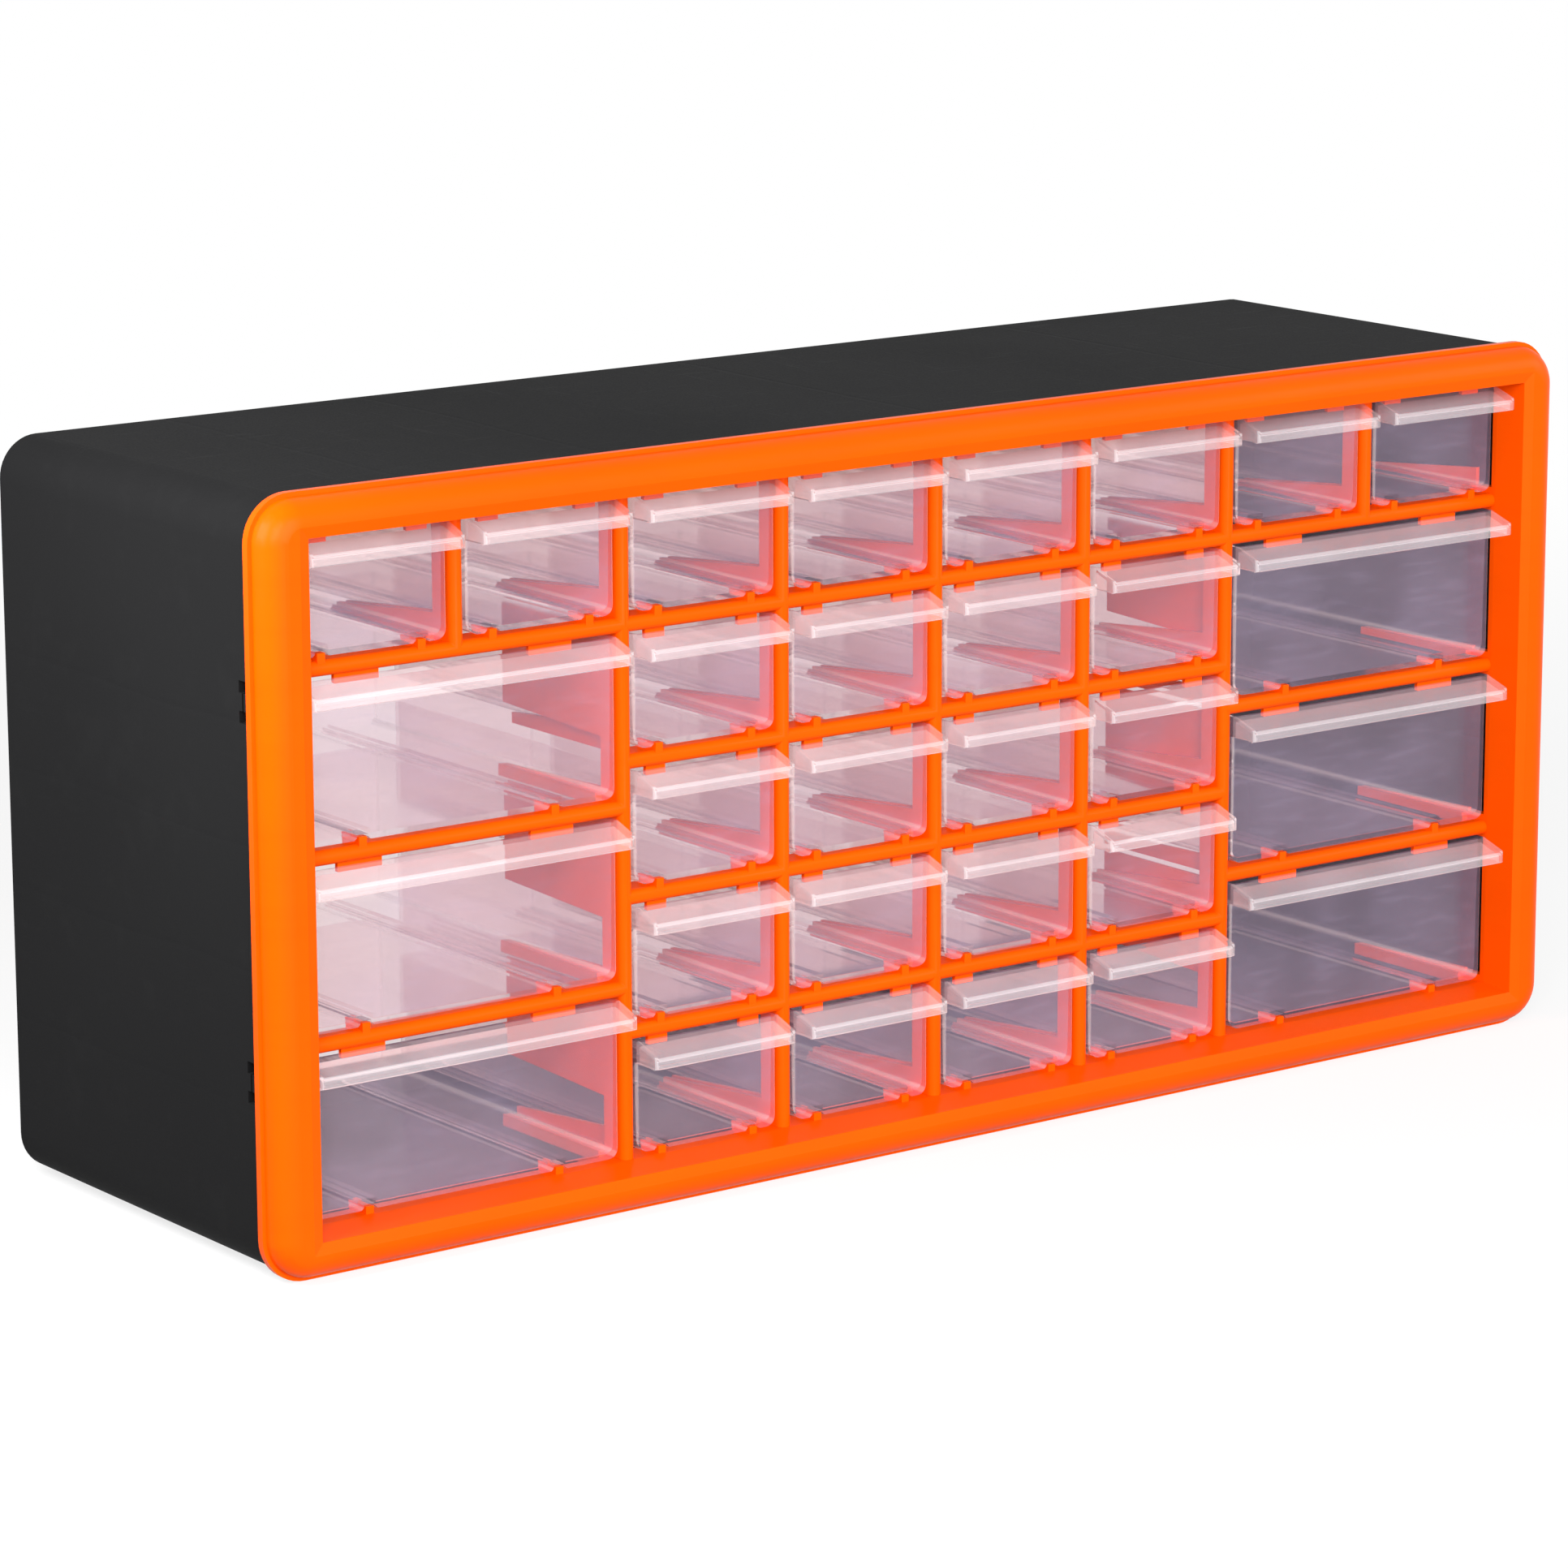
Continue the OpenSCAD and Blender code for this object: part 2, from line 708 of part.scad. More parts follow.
// The tray: floor, four walls and the channels
module drawer_tray(w, h, nub_x) {
  inner_w = w - 2 * drawer_wall;
  difference() {
    round_corners(w, 0, drawer_l, h)
      layer(0, drawer_l)
        drawer_section(w, h, 0, 0, h);
    difference() {
      layer(drawer_wall, drawer_l - drawer_wall)
        drawer_section(w, h, drawer_wall, drawer_floor, h + over);
      channel_ridges(nub_x);
    }
    layer(-over, drawer_wall + over)
      translate([-inner_w / 2, h - front_drop])
        square([inner_w, front_drop + over]);
    channels(nub_x);
  }
}

// The hood pull: a sloping top between two end walls, with a rim along its lower edge
module drawer_hood(w, h) {
  low = h - hood_h;
  reach = hood_reach - hood_rim;
  sheet_top = h - front_drop;
  round_corners(w, -hood_reach, drawer_l, h) {
    union() {
      for (side = [-1, 1])
        translate([side * (w - hood_wall) / 2, 0, 0])
          across(-hood_wall / 2, hood_wall / 2)
            hood_outline(h, reach, hood_r, low, drawer_corner_r);
      across(-w / 2, w / 2)
        difference() {
          hood_outline(sheet_top, reach, hood_r, low, drawer_wall / 2);
          hood_outline(
            sheet_top - hood_wall / cos(hood_slope), reach - hood_wall, hood_r - hood_wall,
            low - over, 0
          );
        }
      across(-w / 2, w / 2)
        translate([-hood_reach, low])
          square([hood_wall, hood_rim_h]);
    }
  }
}

// A drawer w wide and h high, whose underside is at height 0 and whose front is at depth 0
module drawer(w, h, nub_x) {
  color([0.86, 0.82, 0.84, 0.6]) {
    drawer_tray(w, h, nub_x);
    drawer_hood(w, h);
  }
}

module small_drawer(cell) {
  translate([small_x(cell[0]), drawer_front, small_z(cell[1]) + drawer_floor_gap])
    drawer(small_w - 2 * drawer_side_gap, small_h - drawer_play, small_nub_x);
}

module large_drawer(cell) {
  translate([large_x(cell[0]), drawer_front, large_z(cell[1]) + drawer_floor_gap])
    drawer(large_w - 2 * drawer_side_gap, large_h - drawer_play, large_nub_x);
}

casing();
front_frame();
for (part = grid_parts)
  grid_part(part[1], part[2]);
for (cell = small_cells)
  small_drawer(cell);
for (cell = large_cells)
  large_drawer(cell);
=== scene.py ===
"""Dresses the parts cabinet: black casing, orange front frame and thirty clear drawers.

Lengths are in metres, in the frame's own axes: X across the front, Y back from the front, Z up.
"""
import logging
import math
from dataclasses import dataclass, field
from enum import Enum
from typing import Any, Sequence

import bmesh
import bpy
from mathutils import Matrix, Vector

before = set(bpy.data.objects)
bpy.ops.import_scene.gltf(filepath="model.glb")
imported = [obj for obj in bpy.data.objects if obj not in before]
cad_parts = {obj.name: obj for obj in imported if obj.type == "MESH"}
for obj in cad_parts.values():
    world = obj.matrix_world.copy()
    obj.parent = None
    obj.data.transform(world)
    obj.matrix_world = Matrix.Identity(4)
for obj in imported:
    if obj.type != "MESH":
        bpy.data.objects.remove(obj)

log = logging.getLogger("cabinet")

MM = 0.001
IMAGE_SIDE = 1932
BUMP_DEPTH = 1.0 * MM

Colour = tuple[float, float, float]
Place = tuple[float, float, float]
Socket = bpy.types.NodeSocket

WHITE: Colour = (1.0, 1.0, 1.0)


class DrawerSize(Enum):
    """The two sizes of drawer, by the start of their names."""

    SMALL = "small"
    LARGE = "large"


# ---- Node graphs ----


class Graph:
    """A node tree with short ways to add nodes and to join them."""

    def __init__(self, tree: bpy.types.NodeTree) -> None:
        """Wraps a tree.

        Args:
            tree: The material's, world's or group's node tree.
        """
        self.tree = tree

    def join(self, output: Socket, target: Socket) -> None:
        """Links an output socket to an input socket."""
        self.tree.links.new(output, target)

    def feed(self, target: Socket, value: Any) -> None:
        """Links a socket to an input, or sets the input's own value.

        Args:
            target: The input socket.
            value: An output socket, or a value that the input takes.
        """
        if isinstance(value, Socket):
            self.join(value, target)
        else:
            target.default_value = value

    def add(self, kind: str, inputs: dict[Any, Any] | None = None,
            **settings: Any) -> bpy.types.Node:
        """Adds a node.

        Args:
            kind: The node's type name.
            inputs: Values or output sockets by input name or number.
            settings: Properties to set on the node.

        Returns:
            The new node.
        """
        node = self.tree.nodes.new(kind)
        for name, value in settings.items():
            setattr(node, name, value)
        for key, value in (inputs or {}).items():
            self.feed(node.inputs[key], value)
        return node

    def math(self, operation: str, *values: Any, clamp: bool = False) -> Socket:
        """Adds a Math node and returns its result.

        Args:
            operation: The Math node's operation.
            values: Numbers or sockets, in order.
            clamp: Whether the result is kept between 0 and 1.

        Returns:
            The node's output socket.
        """
        node = self.add("ShaderNodeMath", dict(enumerate(values)),
                        operation=operation, use_clamp=clamp)
        return node.outputs[0]

    def blend(self, factor: Any, first: Colour, second: Colour) -> Socket:
        """Mixes two colours.

        Args:
            factor: 0 for the first colour, 1 for the second.
            first: The first colour.
            second: The second colour.

        Returns:
            The mixed colour.
        """
        node = self.add("ShaderNodeMix", {0: factor, 6: (*first, 1.0), 7: (*second, 1.0)},
                        data_type="RGBA")
        return node.outputs[2]

    def ramp(self, value: Any, low: Any, high: Any, start: float = 0.0,
             end: float = 1.0) -> Socket:
        """Maps a value from one range to another, smoothly and without overshoot.

        Args:
            value: The value's socket.
            low: Where the range that counts starts.
            high: Where the range that counts ends.
            start: The result at the low end.
            end: The result at the high end.

        Returns:
            The mapped value.
        """
        node = self.add("ShaderNodeMapRange", {0: value, 1: low, 2: high, 3: start, 4: end},
                        interpolation_type="SMOOTHSTEP")
        return node.outputs[0]

    def place(self, squeeze: Place | None = None) -> Socket:
        """The point on the piece, in metres.

        Args:
            squeeze: The scale along X, Y and Z, if the axes are scaled.

        Returns:
            The vector socket.
        """
        point = self.add("ShaderNodeTexCoord").outputs["Object"]
        if squeeze is None:
            return point
        scaled = self.add("ShaderNodeVectorMath", {0: point, 1: squeeze}, operation="MULTIPLY")
        return scaled.outputs[0]

    def noise(self, scale: Any, squeeze: Place | None = None, detail: float = 1.0,
              roughness: Any = 0.5) -> Socket:
        """Adds a noise over the piece.

        Args:
            scale: How many cells it has in a metre.
            squeeze: The scale along X, Y and Z, if the cells are stretched.
            detail: How many finer layers it has.
            roughness: How strong the finer layers are.

        Returns:
            The noise's value, from 0 to 1.
        """
        node = self.add("ShaderNodeTexNoise", {"Vector": self.place(squeeze), "Scale": scale,
                                               "Detail": detail, "Roughness": roughness})
        return node.outputs[0]

    def mixed(self, factor: Any, first: bpy.types.Node, second: bpy.types.Node) -> bpy.types.Node:
        """Mixes two shaders.

        Args:
            factor: 0 for the first shader, 1 for the second.
            first: The first shader's node.
            second: The second shader's node.

        Returns:
            The Mix Shader node.
        """
        return self.add("ShaderNodeMixShader",
                        {0: factor, 1: first.outputs[0], 2: second.outputs[0]})

    def end(self, shader: bpy.types.Node) -> None:
        """Gives a material its surface."""
        self.add("ShaderNodeOutputMaterial", {"Surface": shader.outputs[0]})

    def plastic(self, colour: Socket, roughness: Socket, height: Socket, bump: float,
                specular: float) -> bpy.types.Node:
        """Adds opaque plastic.

        Args:
            colour: Its colour.
            roughness: Its roughness.
            height: The height of its fine texture, in parts of BUMP_DEPTH.
            bump: How strongly that height shows.
            specular: How strongly it reflects.

        Returns:
            The shader's node.
        """
        relief = self.add("ShaderNodeBump", {"Strength": bump, "Distance": BUMP_DEPTH,
                                             "Height": height})
        return self.add("ShaderNodeBsdfPrincipled", {
            "Base Color": colour, "Roughness": roughness, "Normal": relief.outputs[0],
            "Specular IOR Level": specular})


def empty_material(name: str) -> tuple[bpy.types.Material, Graph]:
    """Makes a material with no nodes.

    Args:
        name: The material's name.

    Returns:
        The material and its graph.
    """
    material = bpy.data.materials.new(name)
    material.use_nodes = True
    material.node_tree.nodes.clear()
    return material, Graph(material.node_tree)


def shader_group(name: str, inputs: Sequence[tuple[str, float]],
                 outputs: Sequence[str]) -> tuple[Graph, Any, Any]:
    """Makes an empty shader node group.

    Args:
        name: The group's name.
        inputs: Name and usual value of each number that goes in.
        outputs: Name of each number that comes out.

    Returns:
        The group's graph, the sockets that go in and the sockets that come out.
    """
    tree = bpy.data.node_groups.new(name, "ShaderNodeTree")
    for label, usual in inputs:
        made = tree.interface.new_socket(name=label, in_out="INPUT",
                                         socket_type="NodeSocketFloat")
        made.default_value = usual
    for label in outputs:
        tree.interface.new_socket(name=label, in_out="OUTPUT", socket_type="NodeSocketFloat")
    graph = Graph(tree)
    return graph, graph.add("NodeGroupInput").outputs, graph.add("NodeGroupOutput").inputs


# ---- Effects that several finishes share ----


@dataclass(frozen=True)
class MouldGrain:
    """The fine texture that a mould's surface leaves."""

    speckle_low: float = 0.35
    speckle_high: float = 0.7

    def group(self) -> bpy.types.NodeTree:
        """Builds the node group.

        Returns:
            The group's tree.
        """
        graph, given, made = shader_group("mould_grain", [("Scale", 900.0), ("Coarseness", 0.5)],
                                          ["Height", "Speckle"])
        fine = graph.noise(given["Scale"], roughness=given["Coarseness"])
        graph.join(fine, made["Height"])
        graph.join(graph.ramp(fine, self.speckle_low, self.speckle_high), made["Speckle"])
        return graph.tree


@dataclass(frozen=True)
class FlowTone:
    """Slow drifts in colour and gloss, with streaks where the plastic flowed."""

    drift_roughness: float = 0.55
    drift_low: float = 0.3
    drift_high: float = 0.7
    streak_squeeze: Place = (1.0, 0.25, 6.0)
    streak_fineness: float = 3.0
    streak_low: float = 0.45
    streak_high: float = 0.75

    def group(self) -> bpy.types.NodeTree:
        """Builds the node group.

        Returns:
            The group's tree.
        """
        graph, given, made = shader_group("flow_tone", [("Scale", 9.0), ("Streaks", 0.4)],
                                          ["Drift", "Flow"])
        slow = graph.noise(given["Scale"], roughness=self.drift_roughness)
        finer = graph.math("MULTIPLY", given["Scale"], self.streak_fineness)
        streak = graph.noise(finer, self.streak_squeeze)
        flow = graph.ramp(streak, self.streak_low, self.streak_high)
        graph.join(graph.ramp(slow, self.drift_low, self.drift_high), made["Drift"])
        graph.join(graph.math("MULTIPLY", flow, given["Streaks"]), made["Flow"])
        return graph.tree


@dataclass(frozen=True)
class HandlingScuffs:
    """Fine hairlines and rubbed spots from handling."""

    across_squeeze: Place = (0.12, 1.0, 4.0)
    across_fineness: float = 6.0
    across_low: float = 0.66
    across_high: float = 0.72
    along_squeeze: Place = (3.0, 0.15, 0.7)
    along_fineness: float = 5.0
    along_low: float = 0.67
    along_high: float = 0.73
    rub_detail: float = 3.0
    rub_roughness: float = 0.7
    rub_low: float = 0.5
    rub_high: float = 0.72

    def group(self) -> bpy.types.NodeTree:
        """Builds the node group.

        Returns:
            The group's tree.
        """
        graph, given, made = shader_group("handling_scuffs", [("Scale", 60.0), ("Amount", 0.5)],
                                          ["Hairlines", "Rubs"])
        across = graph.noise(graph.math("MULTIPLY", given["Scale"], self.across_fineness),
                             self.across_squeeze)
        along = graph.noise(graph.math("MULTIPLY", given["Scale"], self.along_fineness),
                            self.along_squeeze)
        lines = graph.math("MAXIMUM", graph.ramp(across, self.across_low, self.across_high),
                           graph.ramp(along, self.along_low, self.along_high))
        patch = graph.noise(given["Scale"], detail=self.rub_detail, roughness=self.rub_roughness)
        rubs = graph.ramp(patch, self.rub_low, self.rub_high)
        graph.join(graph.math("MULTIPLY", lines, given["Amount"]), made["Hairlines"])
        graph.join(graph.math("MULTIPLY", rubs, given["Amount"]), made["Rubs"])
        return graph.tree


@dataclass(frozen=True)
class SinkLine:
    """A shallow dip along a line, where a rib stands behind a wall."""

    wander_scale: float = 14.0
    wander: float = 6.0 * MM
    softness: float = 0.3

    def group(self) -> bpy.types.NodeTree:
        """Builds the node group.

        Returns:
            The group's tree.
        """
        graph, given, made = shader_group("sink_line", [("Distance", 1.0), ("Width", 2.0 * MM)],
                                          ["Dip"])
        centred = graph.math("SUBTRACT", graph.noise(self.wander_scale), 0.5)
        shift = graph.math("MULTIPLY", centred, self.wander)
        away = graph.math("ABSOLUTE", graph.math("ADD", given["Distance"], shift))
        widths_away = graph.math("DIVIDE", away, given["Width"])
        dip = graph.math("SUBTRACT", 1.0, widths_away, clamp=True)
        graph.join(graph.math("SMOOTH_MIN", dip, 1.0, self.softness), made["Dip"])
        return graph.tree


# The drawers use this mask to place a painted highlight along their rounded edges and corners.
@dataclass(frozen=True)
class TurnedCorner:
    """1 where a surface turns from one axis to another: rounded corners and moulded edges."""

    start: float = 0.07
    end: float = 0.2

    def group(self) -> bpy.types.NodeTree:
        """Builds the node group.

        Returns:
            The group's tree.
        """
        graph, given, made = shader_group("turned_corner",
                                          [("Start", self.start), ("End", self.end)], ["Corner"])
        facing = graph.add("ShaderNodeNewGeometry").outputs["Normal"]
        axes = graph.add("ShaderNodeSeparateXYZ", {0: facing})
        along_x, along_y, along_z = (graph.math("ABSOLUTE", axis) for axis in axes.outputs)
        most = graph.math("MAXIMUM", graph.math("MAXIMUM", along_x, along_y), along_z)
        turned = graph.math("SUBTRACT", 1.0, most)
        graph.join(graph.ramp(turned, given["Start"], given["End"]), made["Corner"])
        return graph.tree


class Effects:
    """The shader node groups that the finishes share, each built once."""

    def __init__(self) -> None:
        """Builds every group."""
        self.grain = MouldGrain().group()
        self.tone = FlowTone().group()
        self.scuffs = HandlingScuffs().group()
        self.sinks = SinkLine().group()
        # Mask for the drawers' painted edge highlight.
        self.corners = TurnedCorner().group()

    def place(self, graph: Graph, group: bpy.types.NodeTree, **inputs: Any) -> Any:
        """Puts a group into a material.

        Args:
            graph: The material's graph.
            group: The group.
            inputs: Its values by input name.

        Returns:
            The group node's output sockets.
        """
        return graph.add("ShaderNodeGroup", inputs, node_tree=group).outputs


@dataclass(frozen=True)
class Wear:
    """How the shared effects are scaled on one finish."""

    grain_scale: float
    grain_coarseness: float
    tone_scale: float
    streaks: float
    scuff_scale: float
    scuffs: float

    def place(self, graph: Graph, effects: Effects) -> tuple[Any, Any, Any]:
        """Puts the effects into a material.

        Args:
            graph: The material's graph.
            effects: The shared node groups.

        Returns:
            The outputs of the grain, the tone and the scuffs.
        """
        grain = effects.place(graph, effects.grain, Scale=self.grain_scale,
                              Coarseness=self.grain_coarseness)
        tone = effects.place(graph, effects.tone, Scale=self.tone_scale, Streaks=self.streaks)
        scuffs = effects.place(graph, effects.scuffs, Scale=self.scuff_scale, Amount=self.scuffs)
        return grain, tone, scuffs


# ---- Finishes ----


@dataclass(frozen=True)
class CasingPlastic:
    """Charcoal black plastic with a fine matt grain and faint sink lines."""

    colour: Colour = (0.0115, 0.0115, 0.012)
    worn_colour: Colour = (0.0165, 0.0165, 0.017)
    wear: Wear = Wear(grain_scale=1500.0, grain_coarseness=0.6, tone_scale=7.0, streaks=0.5,
                      scuff_scale=55.0, scuffs=0.6)
    drift_paling: float = 0.4
    rub_paling: float = 0.35
    roughness: float = 0.6
    drift_roughness: float = 0.07
    grain_roughness: float = 0.05
    hairline_gloss: float = 0.06
    specular: float = 0.02
    grain_height: float = 0.03
    dip_height: float = -0.16
    dip_width: float = 1.6 * MM
    bump: float = 0.5
    wall_facing: float = 0.9
    side_ribs: tuple[float, ...] = (0.163, 0.128, 0.091, 0.051)
    top_ribs: tuple[float, ...] = (-0.19, -0.12, 0.0, 0.13)

    def material(self, effects: Effects) -> bpy.types.Material:
        """Builds the material.

        Args:
            effects: The shared node groups.

        Returns:
            The material.
        """
        surface, graph = empty_material("casing_plastic_grained")
        grain, tone, scuffs = self.wear.place(graph, effects)
        paled = graph.math("ADD", graph.math("MULTIPLY", tone["Drift"], self.drift_paling),
                           graph.math("MULTIPLY", scuffs["Rubs"], self.rub_paling), clamp=True)
        rough = graph.math("MULTIPLY_ADD", tone["Drift"], self.drift_roughness, self.roughness)
        rough = graph.math("MULTIPLY_ADD", grain["Speckle"], self.grain_roughness, rough)
        rough = graph.math("SUBTRACT", rough,
                           graph.math("MULTIPLY", scuffs["Hairlines"], self.hairline_gloss))
        dips = graph.math("MULTIPLY", self._dips(graph, effects), self.dip_height)
        height = graph.math("MULTIPLY_ADD", grain["Height"], self.grain_height, dips)
        colour = graph.blend(paled, self.colour, self.worn_colour)
        graph.end(graph.plastic(colour, rough, height, self.bump, self.specular))
        return surface

    def _dips(self, graph: Graph, effects: Effects) -> Socket:
        """The sink lines: level on the end walls, and from front to back on the top.

        Args:
            graph: The material's graph.
            effects: The shared node groups.

        Returns:
            How deep the surface dips, 1 at the most.
        """
        point = graph.add("ShaderNodeSeparateXYZ", {0: graph.place()}).outputs
        normal = graph.add("ShaderNodeNewGeometry").outputs["True Normal"]
        facing = graph.add("ShaderNodeSeparateXYZ", {0: normal}).outputs
        total: Any = 0.0
        for across, wall, ribs in (("Z", "X", self.side_ribs), ("X", "Z", self.top_ribs)):
            on_wall = graph.math("GREATER_THAN", graph.math("ABSOLUTE", facing[wall]),
                                 self.wall_facing)
            for rib in ribs:
                away = graph.math("SUBTRACT", point[across], rib)
                line = effects.place(graph, effects.sinks, Distance=away, Width=self.dip_width)
                total = graph.math("ADD", total, graph.math("MULTIPLY", line["Dip"], on_wall))
        return total


@dataclass(frozen=True)
class FramePlastic:
    """Bright orange plastic with a satin gloss."""

    colour: Colour = (1.0, 0.095, 0.0)
    deep_colour: Colour = (0.97, 0.082, 0.0)
    wear: Wear = Wear(grain_scale=1900.0, grain_coarseness=0.5, tone_scale=11.0, streaks=0.5,
                      scuff_scale=70.0, scuffs=0.5)
    drift_deepening: float = 0.55
    flow_deepening: float = 0.4
    roughness: float = 0.3
    drift_roughness: float = 0.06
    rub_roughness: float = 0.08
    specular: float = 0.06
    grain_height: float = 0.012
    hairline_height: float = -0.01
    bump: float = 0.4

    def material(self, effects: Effects) -> bpy.types.Material:
        """Builds the material.

        Args:
            effects: The shared node groups.

        Returns:
            The material.
        """
        surface, graph = empty_material("frame_plastic_satin")
        grain, tone, scuffs = self.wear.place(graph, effects)
        deepened = graph.math("MULTIPLY_ADD", tone["Drift"], self.drift_deepening,
                              graph.math("MULTIPLY", tone["Flow"], self.flow_deepening),
                              clamp=True)
        rough = graph.math("MULTIPLY_ADD", tone["Drift"], self.drift_roughness, self.roughness)
        rough = graph.math("MULTIPLY_ADD", scuffs["Rubs"], self.rub_roughness, rough)
        height = graph.math("MULTIPLY_ADD", grain["Height"], self.grain_height,
                            graph.math("MULTIPLY", scuffs["Hairlines"], self.hairline_height))
        colour = graph.blend(deepened, self.colour, self.deep_colour)
        graph.end(graph.plastic(colour, rough, height, self.bump, self.specular))
        return surface


@dataclass(frozen=True)
class ClearPlastic:
    """Clear plastic, lightly frosted: what passes is warmed, what scatters is violet, and rounded
    edges get a pale painted highlight.
    """

    colour: Colour = (0.95, 0.86, 0.84)
    streaked_colour: Colour = (0.91, 0.82, 0.81)
    haze_colour: Colour = (0.82, 0.70, 1.0)
    # Pale diffuse colour for the hood's extra haze and for the painted highlight on rounded
    # edges.
    hood_and_highlight_colour: Colour = (0.99, 0.93, 0.95)
    lamp_colour: Colour = (1.0, 0.98, 0.98)
    tone_scale: float = 24.0
    streaks: float = 0.5
    flow_cloud: float = 0.5
    drift_cloud: float = 0.5
    haze: float = 0.045
    cloudy_haze: float = 0.085
    hood_haze: float = 0.085
    # Extra pale diffuse share on rounded edges and corners: a painted highlight.
    painted_edge_highlight: float = 0.17
    hood_back: float = -60.9 * MM
    roughness: float = 0.1
    drift_roughness: float = 0.04
    ior: float = 1.02
    gloss: float = 0.3
    gloss_roughness: float = 0.12

    def material(self, effects: Effects) -> bpy.types.Material:
        """Builds the material.

        The lamps' light passes it with a slight tint, so that the insides aren't left dark.

        Args:
            effects: The shared node groups.

        Returns:
            The material.
        """
        surface, graph = empty_material("drawer_plastic_frosted")
        tone = effects.place(graph, effects.tone, Scale=self.tone_scale, Streaks=self.streaks)
        cloudy = graph.math("MULTIPLY_ADD", tone["Flow"], self.flow_cloud,
                            graph.math("MULTIPLY", tone["Drift"], self.drift_cloud), clamp=True)
        rough = graph.math("MULTIPLY_ADD", tone["Drift"], self.drift_roughness, self.roughness)
        clear = graph.add("ShaderNodeBsdfPrincipled", {
            "Base Color": graph.blend(cloudy, self.colour, self.streaked_colour),
            "Roughness": rough, "Transmission Weight": 1.0, "IOR": self.ior,
            "Coat Weight": self.gloss, "Coat Roughness": self.gloss_roughness})
        point = graph.add("ShaderNodeSeparateXYZ", {0: graph.place()}).outputs
        hood = graph.math("LESS_THAN", point["Y"], self.hood_back)
        # Rounded edges and corners get extra pale diffuse: a painted highlight in place of the
        # glints along clear plastic's edges.
        edge_highlight_mask = effects.place(graph, effects.corners)["Corner"]
        # 1 on the hood, for its extra haze, and on rounded edges, for the painted highlight.
        pale = graph.math("MAXIMUM", hood, edge_highlight_mask)
        frost_and_edge_highlight = graph.add("ShaderNodeBsdfDiffuse", {
            "Color": graph.blend(pale, self.haze_colour, self.hood_and_highlight_colour)})
        share = graph.ramp(cloudy, 0.0, 1.0, self.haze, self.cloudy_haze)
        share = graph.math("MULTIPLY_ADD", hood, self.hood_haze, share)
        # The share grows on rounded edges for the painted highlight.
        share = graph.math("MULTIPLY_ADD", edge_highlight_mask, self.painted_edge_highlight, share)
        body = graph.mixed(share, clear, frost_and_edge_highlight)
        path = graph.add("ShaderNodeLightPath").outputs
        passing = graph.math("MAXIMUM", path["Is Shadow Ray"], path["Is Diffuse Ray"])
        lamp_light = graph.add("ShaderNodeBsdfTransparent", {"Color": (*self.lamp_colour, 1.0)})
        graph.end(graph.mixed(passing, body, lamp_light))
        return surface


# ---- Pieces ----


@dataclass(frozen=True)
class MouldedEdges:
    """The small radius that a mould leaves on every outside edge."""

    width: float
    segments: int = 2
    seam: float = 0.001 * MM
    sharp_angle: float = math.radians(38)
    flat_angle: float = math.radians(0.4)
    shading_weight: int = 60

    def round(self, piece: bpy.types.Object) -> None:
        """Rounds a piece's sharp edges with modifiers.

        Args:
            piece: The mesh object.
        """
        piece.modifiers.new("join_seams", "WELD").merge_threshold = self.seam
        flats = piece.modifiers.new("whole_flats", "DECIMATE")
        flats.decimate_type = "DISSOLVE"
        flats.angle_limit = self.flat_angle
        edges = piece.modifiers.new("moulded_edges", "BEVEL")
        edges.width = self.width
        edges.segments = self.segments
        edges.limit_method = "ANGLE"
        edges.angle_limit = self.sharp_angle
        edges.use_clamp_overlap = True
        normals = piece.modifiers.new("even_shading", "WEIGHTED_NORMAL")
        normals.weight = self.shading_weight
        normals.keep_sharp = True


def finish_piece(name: str, kind: str, edges: MouldedEdges,
                 material: bpy.types.Material) -> None:
    """Rounds a piece and gives every material slot of it the same finish.

    Args:
        name: The node's name.
        kind: What the piece is, for the log.
        edges: How its edges are rounded.
        material: The finish.
    """
    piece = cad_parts[name]
    edges.round(piece)
    for place in piece.material_slots:
        place.material = material
    log.info("%s: %s in %s", name, kind, material.name)


@dataclass
class Casing:
    """The black shell round the drawers."""

    node: str = "casing"
    finish: CasingPlastic = field(default_factory=CasingPlastic)
    edges: MouldedEdges = MouldedEdges(width=0.5 * MM)

    def build(self, effects: Effects) -> None:
        """Rounds and dresses the shell."""
        finish_piece(self.node, "shell", self.edges, self.finish.material(effects))


@dataclass
class FrontFrame:
    """The orange front: bezel, recess, rails, dividers and runners."""

    endings: tuple[str, ...] = ("_frame", "_grid")
    finish: FramePlastic = field(default_factory=FramePlastic)
    edges: MouldedEdges = MouldedEdges(width=0.25 * MM)

    def build(self, effects: Effects) -> None:
        """Rounds and dresses the frame and its four grids.

        Args:
            effects: The shared node groups.
        """
        material = self.finish.material(effects)
        for name in sorted(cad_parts):
            if name.endswith(self.endings):
                finish_piece(name, "front moulding", self.edges, material)


@dataclass
class ClearDrawer:
    """One clear drawer with its hooded pull."""

    name: str
    size: DrawerSize
    edges: MouldedEdges = MouldedEdges(width=0.35 * MM)

    def build(self, material: bpy.types.Material) -> None:
        """Rounds and dresses the drawer."""
        finish_piece(self.name, f"{self.size.value} drawer", self.edges, material)


@dataclass
class DrawerSet:
    """All thirty drawers, in one finish."""

    finish: ClearPlastic = field(default_factory=ClearPlastic)

    def build(self, effects: Effects) -> None:
        """Builds each drawer.

        Args:
            effects: The shared node groups.
        """
        material = self.finish.material(effects)
        for name in sorted(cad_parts):
            for size in DrawerSize:
                if name.startswith(size.value):
                    ClearDrawer(name, size).build(material)


# ---- Studio ----


